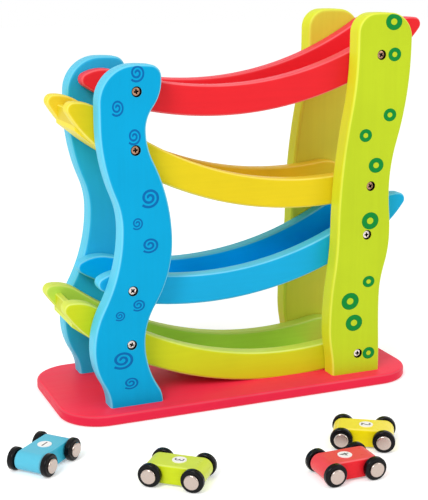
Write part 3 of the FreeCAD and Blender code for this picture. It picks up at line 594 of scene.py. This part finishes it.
def outer_faces(upright):
    """The front and rear board of an upright: node, outer face's place along Y and outward sign."""
    faces = []
    for side, sign in OUTWARD.items():
        node = f"{upright}_upright_{side}"
        faces.append((NODES[node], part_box(node)[0 if sign < 0 else 1].y, sign))
    return faces


def mark_points(name, marks, upright):
    """Points for the marks on an upright's outer faces, front and rear."""
    rows, sizes, turns = [], [], []
    for _, face, sign in outer_faces(upright):
        for along, up, half_width, half_height in marks:
            rows.append((along * MM, face, up * MM))
            sizes.append((half_width * MM, half_height * MM, (half_width + half_height) / 2 * MM))
            turns.append((math.pi / 2, 0.0, 0.0 if sign < 0 else math.pi))
    return new_points(name, rows, mark_size=sizes, mark_turn=turns)


def lay_on(mesh, upright):
    """Lay flat marks on an upright's outer faces and over their rounded edges."""
    surfaces = []
    for node, face, sign in outer_faces(upright):
        corners = [vertex.co for vertex in node.data.vertices]
        sides = [polygon.vertices for polygon in node.data.polygons]
        surfaces.append((BVHTree.FromPolygons(corners, sides), face, sign))
    for vertex in mesh.vertices:
        surface, face, sign = min(surfaces, key=lambda row: abs(vertex.co.y - row[1]))
        height = (vertex.co.y - face) * sign
        spot, outward, _, _ = surface.find_nearest((vertex.co.x, face, vertex.co.z))
        vertex.co = spot + outward * height


def lathe(outline, sides):
    """A closed turned mesh about Z from (radius, height) pairs, top middle first, bottom middle last."""
    shape = bmesh.new()
    rings = []
    for radius, height in outline:
        if radius == 0:
            rings.append([shape.verts.new((0, 0, height))])
            continue
        angles = [2 * math.pi * step / sides for step in range(sides)]
        rings.append([shape.verts.new((radius * math.cos(a), radius * math.sin(a), height)) for a in angles])
    for upper, lower in zip(rings, rings[1:]):
        for step in range(sides):
            after = (step + 1) % sides
            if len(upper) == 1:
                shape.faces.new((upper[0], lower[step], lower[after]))
            elif len(lower) == 1:
                shape.faces.new((upper[step], lower[0], upper[after]))
            else:
                shape.faces.new((upper[step], lower[step], lower[after], upper[after]))
    bmesh.ops.recalc_face_normals(shape, faces=shape.faces)
    return shape


def to_object(name, shape):
    mesh = bpy.data.meshes.new(name)
    shape.to_mesh(mesh)
    shape.free()
    made = bpy.data.objects.new(name, mesh)
    bpy.context.scene.collection.objects.link(made)
    return made


def screw_outline(sizes, reach):
    """The outline of a screw along Z: a low dome, a rounded rim, a tapered head and a pointed shank."""
    rim = sizes.head_height - sizes.dome
    round_edge = 0.35 * MM
    dome_steps = 7
    outline = [(0.0, sizes.head_height)]
    for step in range(1, dome_steps):
        share = step / dome_steps
        outline.append((sizes.head_radius * share, rim + sizes.dome * (1 - share ** 2)))
    for angle in (75, 45, 15):
        across = round_edge * (1 - math.cos(math.radians(angle)))
        down = round_edge * (1 - math.sin(math.radians(angle)))
        outline.append((sizes.head_radius - across, rim - down))
    widest = (sizes.head_radius, 0.4 * rim)
    under_head = (0.97 * sizes.head_radius, 0.0)
    shank = (sizes.shank_radius, 0.0)
    point_start = (0.96 * sizes.shank_radius, -0.85 * reach)
    return outline + [widest, under_head, shank, point_start, (0.0, -reach)]


def cut_cross(screw, sizes):
    """Cut a cross into a screw's head, tapered towards its bottom."""
    bottom_reach, bottom_width = 0.42, 0.6
    over_head = 0.3 * MM
    for angle in (0, 90):
        arm = bmesh.new()
        bmesh.ops.create_cube(arm, size=1.0)
        for corner in arm.verts:
            top = corner.co.z > 0
            corner.co.x *= 2 * sizes.cross_reach * (1.0 if top else bottom_reach)
            corner.co.y *= sizes.cross_width * (1.0 if top else bottom_width)
            corner.co.z = sizes.head_height + (over_head if top else -sizes.cross_depth)
        arm.transform(Matrix.Rotation(math.radians(angle), 4, "Z"))
        cutter = to_object("cross_arm", arm)
        cut = screw.modifiers.new("Cross", "BOOLEAN")
        cut.operation, cut.solver, cut.object = "DIFFERENCE", "EXACT", cutter
        bpy.context.view_layer.update()
        evaluated = screw.evaluated_get(bpy.context.evaluated_depsgraph_get())
        mesh = bpy.data.meshes.new_from_object(evaluated)
        screw.modifiers.remove(cut)
        screw.data = mesh
        bpy.data.objects.remove(cutter)


def shade_sleeve(sizes):
    """A dark sleeve in the hole round a screw's head: painted shade in the gap between head and hole."""
    inside = sizes.head_radius + sizes.rim_gap
    outside = inside + sizes.rim_width
    top = sizes.rim_height
    shape = lathe([(inside, top), (outside, top), (outside, 0.0), (inside, 0.0), (inside, top)], sizes.sides)
    bmesh.ops.remove_doubles(shape, verts=shape.verts, dist=0.001 * MM)
    bmesh.ops.recalc_face_normals(shape, faces=shape.faces)
    return shape


def mark_painted_shade(mesh, sizes):
    """Give each face of a screw and its sleeve a painted shade value: 1 in the cross, at the
    head's edge and on the sleeve.
    """
    rim = sizes.head_height - sizes.dome
    cross_end = 1.05 * sizes.cross_reach
    under_surface = 0.06 * MM
    darkness = []
    for face in mesh.polygons:
        away = face.center.xy.length
        surface = rim + sizes.dome * (1 - (away / sizes.head_radius) ** 2)
        in_cross = away < cross_end and 0 < face.center.z < surface - under_surface
        darkness.append(1.0 if in_cross or away > sizes.head_radius - sizes.dark_edge else 0.0)
    mesh.attributes.new("painted_shade", "FLOAT", "FACE").data.foreach_set("value", darkness)


def screw_object(sizes, reach):
    """One screw along Z, the underside of its head at the origin, with its cross and its sleeve of painted
    shade.
    """
    screw = to_object("screw", lathe(screw_outline(sizes, reach), sizes.sides))
    cut_cross(screw, sizes)
    both = shade_sleeve(sizes)
    both.from_mesh(screw.data)
    both.to_mesh(screw.data)
    both.free()
    mark_painted_shade(screw.data, sizes)
    return screw


def screw_places(node, axis, sign, head_radius):
    """The middles of the screw heads' outer faces in a CAD node, read off its vertices."""
    low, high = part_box(node)
    outer = (high if sign > 0 else low)[axis]
    flat, same_screw = 0.02 * MM, 2.4 * head_radius
    spots = []
    for vertex in NODES[node].data.vertices:
        if abs(vertex.co[axis] - outer) > flat:
            continue
        for spot in spots:
            if (spot[0] - vertex.co).length < same_screw:
                spot.append(vertex.co.copy())
                break
        else:
            spots.append([vertex.co.copy()])
    places = []
    for spot in spots:
        lowest = [min(point[i] for point in spot) for i in range(3)]
        highest = [max(point[i] for point in spot) for i in range(3)]
        places.append([(a + b) / 2 for a, b in zip(lowest, highest)])
    return places


def screw_steel(sizes):
    """Plated steel: nickel, with a painted dark reflection on the upper screws by the screw's
    nickel value, and dark with painted shade where a face is marked for it.
    """
    steel = fine_surface("plated_steel", sizes.painted_dark_reflection, 0.55, **PLATED)
    tree = steel.node_tree
    shader = next(node for node in tree.nodes if node.type == "BSDF_PRINCIPLED")
    group = next(node for node in tree.nodes if node.type == "GROUP")
    nickel = add_node(tree, "ShaderNodeAttribute", {"attribute_name": "nickel"}).outputs["Fac"]
    painted_shade = add_node(tree, "ShaderNodeAttribute", {"attribute_name": "painted_shade"}).outputs["Fac"]
    # The upper screws take a painted dark reflection, the others plain nickel.
    plating = mix_colours(tree, nickel, group.outputs["Colour"], (*sizes.nickel, 1.0))
    # Painted shade in the cross, at the head's edge and on the sleeve.
    dark = mix_colours(tree, painted_shade, plating, (*sizes.painted_shade, 1.0))
    tree.links.new(dark, shader.inputs["Base Color"])
    return steel


def screw_points(sizes):
    """Points under the screws' heads, each with its turn, and 1 where it is plain nickel and
    0 where a painted dark reflection is used.
    """
    rows, turns, platings = [], [], []
    highest_nickel = (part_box("yellow_floor")[0].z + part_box("blue_floor")[1].z) / 2
    for node, (axis, sign, turn) in SCREW_NODES.items():
        places = screw_places(node, axis, sign, sizes.head_radius)
        if len(places) != SCREWS_IN_A_NODE:
            raise RuntimeError(f"{node}: found {len(places)} screws, not {SCREWS_IN_A_NODE}")
        for place in places:
            place[axis] -= sign * sizes.head_height
            rows.append(tuple(place))
            turns.append(turn)
            platings.append(1.0 if place[2] < highest_nickel else 0.0)
    return new_points("screw_points", rows, screw_turn=turns, nickel=platings)


class RACETRACK_OT_paint_boards(bpy.types.Operator):
    """Paint the base board, the uprights and the four ramps"""
    bl_idname = "race_track.paint_boards"
    bl_label = "Paint Boards"

    def execute(self, context):
        paints = context.scene.race_track_paints
        depth = paints.grain_depth
        along_x, along_y, along_z = (0.04, 1, 1), (1, 0.04, 1), (1, 1, 0.04)
        upward, endward = (0, 0, 1), (1, 0, 0)

        def paint(node, face, edge, inner, facing, grain, **looks):
            give(painted_wood(f"{node}_paint", face, edge, inner, facing, grain, depth, **looks), node)

        # Each board's last value is the strength of its painted highlight along rounded corners.
        paint("base_board", paints.base, paints.base_edge, paints.base_edge, upward, along_x, wear=0.06)
        for board in ("blue_upright", "green_upright"):
            colours = [getattr(paints, board + kind) for kind in ("", "_edge", "_inner")]
            for side, sign in OUTWARD.items():
                paint(f"{board}_{side}", *colours, (0, sign, 0), along_z, wear=0.07)
        for ramp in RAMPS:
            face, edge, inner = (getattr(paints, f"{ramp}_ramp{kind}") for kind in ("", "_edge", "_inner"))
            for side, sign in OUTWARD.items():
                paint(f"{ramp}_rail_{side}", face, edge, inner, (0, sign, 0), along_x)
            # A ramp's floor takes the inside colour, with its painted shade and bounced light.
            paint(f"{ramp}_floor", inner, edge, face, upward, along_x, wear=0.0)
            paint(f"{ramp}_end_stop", face, edge, face, endward, along_y)
        return {"FINISHED"}


class RACETRACK_OT_print_spirals(bpy.types.Operator):
    """Print spirals on the outer faces of the blue uprights"""
    bl_idname = "race_track.print_spirals"
    bl_label = "Print Spirals"

    def execute(self, context):
        marks = context.scene.race_track_marks
        ink = fine_surface("spiral_ink", marks.spiral_ink, 0.8, **PRINTED)
        mesh = grow(mark_points("spirals", SPIRALS, "blue"), spiral_tree(), Turns=marks.spiral_turns,
                    Inner_End=marks.spiral_end, Line=marks.spiral_line, Height=marks.ink_height, Ink=ink)
        lay_on(mesh, "blue")
        new_piece("printed_spirals", mesh, ink, "track")
        return {"FINISHED"}


class RACETRACK_OT_print_rings(bpy.types.Operator):
    """Print rings on the outer faces of the green uprights"""
    bl_idname = "race_track.print_rings"
    bl_label = "Print Rings"

    def execute(self, context):
        marks = context.scene.race_track_marks
        ink = fine_surface("ring_ink", marks.ring_ink, 0.8, **PRINTED)
        mesh = grow(mark_points("rings", RINGS, "green"), ring_tree(), Hole=marks.ring_hole,
                    Height=marks.ink_height * 0.5, Ink=ink)
        lay_on(mesh, "green")
        new_piece("printed_rings", mesh, ink, "track")
        return {"FINISHED"}


class RACETRACK_OT_drive_screws(bpy.types.Operator):
    """Put cross-headed screws in the uprights and under the base board"""
    bl_idname = "race_track.drive_screws"
    bl_label = "Drive Screws"

    def execute(self, context):
        sizes = context.scene.race_track_screws
        steel = screw_steel(sizes)
        low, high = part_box("front_screws")
        inside_pilot_hole = 0.1 * MM
        screw = screw_object(sizes, (high.y - low.y) - sizes.head_height - inside_pilot_hole)
        mesh = grow(screw_points(sizes), screw_tree(), Screw=screw, Seed=sizes.seed, Steel=steel)
        bpy.data.objects.remove(screw)
        piece = new_piece("screws", mesh, steel, "track")
        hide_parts(*SCREW_NODES)
        return {"FINISHED"}


def number_mesh(digit, height, lift):
    """A plain number, flat on XY about the origin, its foot towards -X and its right side towards -Y."""
    curve = bpy.data.curves.new("number", "FONT")
    curve.body = digit
    curve.extrude = lift / 2
    steps_in_a_curve = 6
    curve.resolution_u = steps_in_a_curve
    text = bpy.data.objects.new("number", curve)
    bpy.context.scene.collection.objects.link(text)
    bpy.context.view_layer.update()
    mesh = bpy.data.meshes.new_from_object(text.evaluated_get(bpy.context.evaluated_depsgraph_get()))
    bpy.data.objects.remove(text)
    low = Vector([min(vertex.co[i] for vertex in mesh.vertices) for i in range(3)])
    high = Vector([max(vertex.co[i] for vertex in mesh.vertices) for i in range(3)])
    scale = height / (high.y - low.y)
    centred = Matrix.Translation((-(low.x + high.x) / 2, -(low.y + high.y) / 2, 0))
    sized = Matrix.Diagonal((scale, scale, 1.0, 1.0))
    mesh.transform(Matrix.Rotation(-math.pi / 2, 4, "Z") @ sized @ centred)
    return mesh


def numbers_mesh(car, digit, heading, finish):
    """A car's number on its upper and its lower disc, its foot towards the car's tail."""
    low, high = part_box(f"{car}_car_number_discs")
    middle = (low + high) / 2
    numbers = bmesh.new()
    for top in (True, False):
        mesh = number_mesh(digit, finish.digit_height, finish.digit_lift)
        turn = Matrix.Rotation(heading, 4, "Z")
        if not top:
            turn = turn @ Matrix.Rotation(math.pi, 4, "X")
        place = Vector((middle.x, middle.y, high.z if top else low.z))
        mesh.transform(Matrix.Translation(place) @ turn)
        numbers.from_mesh(mesh)
        bpy.data.meshes.remove(mesh)
    bmesh.ops.recalc_face_normals(numbers, faces=numbers.faces)
    both = bpy.data.meshes.new(f"{car}_car_numbers")
    numbers.to_mesh(both)
    numbers.free()
    return both


class RACETRACK_OT_finish_cars(bpy.types.Operator):
    """Paint the car bodies and print the numbers on both of their discs"""
    bl_idname = "race_track.finish_cars"
    bl_label = "Finish Cars"

    def execute(self, context):
        finish = context.scene.race_track_cars
        paper = fine_surface("disc_paper", finish.disc, 0.93, **PAPER)
        ink = fine_surface("number_ink", finish.digit, 1.6, **DIGIT_INK)
        axes = {joint["child"]: Vector(joint["axis"]) for joint in frame["joints"]}
        paint_depth = 0.03 * MM
        fine_grain = (0.35, 0.35, 1)
        # Painted light: a body's roof, ends and underside are a little lighter than its sides, and its
        # rounded corners carry a painted highlight.
        painted_edge_light = 0.06
        for car, digit in CARS.items():
            ahead = axes[f"{car}_car"]
            heading = math.atan2(ahead.y, ahead.x)
            sideways = (-math.sin(heading), math.cos(heading), 0)
            paint = getattr(finish, f"{car}_car")
            edge = [channel + (1 - channel) * painted_edge_light for channel in paint]
            give(painted_wood(f"{car}_car_paint", paint, edge, paint, sideways, fine_grain, paint_depth,
                              gloss=0.3, wear=0.08, coat=0.12), f"{car}_car_body")
            give(paper, f"{car}_car_number_discs")
            numbers = numbers_mesh(car, digit, heading, finish)
            new_piece(f"{car}_car_numbers", numbers, ink, f"{car}_car")
        return {"FINISHED"}


class RACETRACK_OT_finish_wheels(bpy.types.Operator):
    """Give the tyres, hub caps and axles their rubber and metal"""
    bl_idname = "race_track.finish_wheels"
    bl_label = "Finish Wheels"

    def execute(self, context):
        finish = context.scene.race_track_cars
        rubber = fine_surface("tyre_moulding", finish.tyre, 2.0, **MOULDED)
        chrome = fine_surface("cap_metal", finish.cap, 0.75, **POLISHED)
        steel = fine_surface("axle_metal", finish.axle, 0.7, **STEEL_BAR)
        for car in CARS:
            for end in ("front", "rear"):
                give(rubber, f"{car}_car_{end}_tyres")
                give(chrome, f"{car}_car_{end}_hubs")
                give(steel, f"{car}_car_{end}_axle")
        return {"FINISHED"}


def new_lamp(name, place, size, power):
    """A round lamp that shines at the middle of the track."""
    lamp = bpy.data.lights.new(name, "AREA")
    lamp.shape, lamp.size, lamp.energy = "DISK", size, power
    made = bpy.data.objects.new(name, lamp)
    bpy.context.scene.collection.objects.link(made)
    made.location = place
    made.rotation_euler = (Vector(TRACK_MIDDLE) - Vector(place)).to_track_quat("-Z", "Y").to_euler()


def seen_directly(tree):
    """1 for rays that show a thing as it is: straight from the camera, mirrored or through glass."""
    path = add_node(tree, "ShaderNodeLightPath").outputs
    seen = maths(tree, "MAXIMUM", path["Is Camera Ray"], path["Is Glossy Ray"])
    return maths(tree, "MAXIMUM", seen, path["Is Transmission Ray"])


def pale_floor(background):
    """A floor that looks as pale as the background and still takes the track's shadow."""
    shape = bmesh.new()
    bmesh.ops.create_grid(shape, x_segments=1, y_segments=1, size=FLOOR_REACH)
    floor = to_object("studio_floor", shape)
    material = bpy.data.materials.new("studio_floor")
    material.use_nodes = True
    tree = material.node_tree
    tree.nodes.clear()
    matt = add_node(tree, "ShaderNodeBsdfDiffuse", Color=background).outputs[0]
    glow = add_node(tree, "ShaderNodeEmission", Color=background, Strength=FLOOR_GLOW).outputs[0]
    lit = add_node(tree, "ShaderNodeAddShader", i0=matt, i1=glow).outputs[0]
    surface = add_node(tree, "ShaderNodeMixShader", i0=seen_directly(tree), i1=matt, i2=lit).outputs[0]
    add_node(tree, "ShaderNodeOutputMaterial", Surface=surface)
    floor.data.materials.append(material)


def surrounding_light(background, strength):
    """A world that lights everything evenly and shows the background."""
    world = bpy.data.worlds.new("studio")
    world.use_nodes = True
    tree = world.node_tree
    tree.nodes.clear()
    around = add_node(tree, "ShaderNodeBackground", Color=background, Strength=strength).outputs[0]
    shown = add_node(tree, "ShaderNodeBackground", Color=background, Strength=1.0).outputs[0]
    mixed = add_node(tree, "ShaderNodeMixShader", i0=seen_directly(tree), i1=around, i2=shown).outputs[0]
    add_node(tree, "ShaderNodeOutputWorld", Surface=mixed)
    return world


def new_camera():
    lens = bpy.data.cameras.new("camera")
    lens.sensor_width, lens.lens = CAMERA_SENSOR, CAMERA_LENS
    lens.shift_x, lens.shift_y = CAMERA_SHIFT
    lens.clip_start, lens.clip_end = CAMERA_RANGE
    camera = bpy.data.objects.new("camera", lens)
    bpy.context.scene.collection.objects.link(camera)
    camera.location = CAMERA_PLACE
    camera.rotation_euler = Euler(CAMERA_TURN)
    return camera


class RACETRACK_OT_set_stage(bpy.types.Operator):
    """Set up the pale floor, the lamps, the surrounding light and the camera"""
    bl_idname = "race_track.set_stage"
    bl_label = "Set Stage"

    def execute(self, context):
        scene = context.scene
        studio = scene.race_track_studio
        background = (*studio.background, 1)
        scene.view_settings.view_transform = "Standard"
        pale_floor(background)
        scene.world = surrounding_light(background, studio.sky)
        new_lamp("key_lamp", KEY_PLACE, KEY_SIZE, studio.key)
        new_lamp("fill_lamp", FILL_PLACE, FILL_SIZE, studio.fill)
        scene.camera = new_camera()
        return {"FINISHED"}


STEPS = (
    RACETRACK_OT_set_stage, RACETRACK_OT_paint_boards, RACETRACK_OT_print_spirals, RACETRACK_OT_print_rings,
    RACETRACK_OT_drive_screws, RACETRACK_OT_finish_cars, RACETRACK_OT_finish_wheels,
)
SETTINGS = {
    "race_track_paints": BoardPaints,
    "race_track_marks": PrintedMarks,
    "race_track_screws": ScrewSizes,
    "race_track_cars": CarFinish,
    "race_track_studio": StudioSettings,
}


class RACETRACK_PT_sidebar(bpy.types.Panel):
    """Steps and settings of the toy race track"""
    bl_idname = "RACETRACK_PT_sidebar"
    bl_label = "Race Track"
    bl_space_type = "VIEW_3D"
    bl_region_type = "UI"
    bl_category = "Race Track"

    def draw(self, context):
        for step in STEPS:
            self.layout.operator(step.bl_idname)
        for name, kind in SETTINGS.items():
            box = self.layout.box()
            for setting in kind.__annotations__:
                box.prop(getattr(context.scene, name), setting)


CLASSES = (*SETTINGS.values(), *STEPS, RACETRACK_PT_sidebar)


def register():
    for kind in CLASSES:
        bpy.utils.register_class(kind)
    for name, kind in SETTINGS.items():
        setattr(bpy.types.Scene, name, PointerProperty(type=kind))


def unregister():
    for name in SETTINGS:
        delattr(bpy.types.Scene, name)
    for kind in reversed(CLASSES):
        bpy.utils.unregister_class(kind)


def main():
    register()
    for step in STEPS:
        name = step.bl_idname.split(".")[1]
        if getattr(bpy.ops.race_track, name)() != {"FINISHED"}:
            raise RuntimeError(f"{step.bl_label} did not finish")


if __name__ == "__main__":
    main()
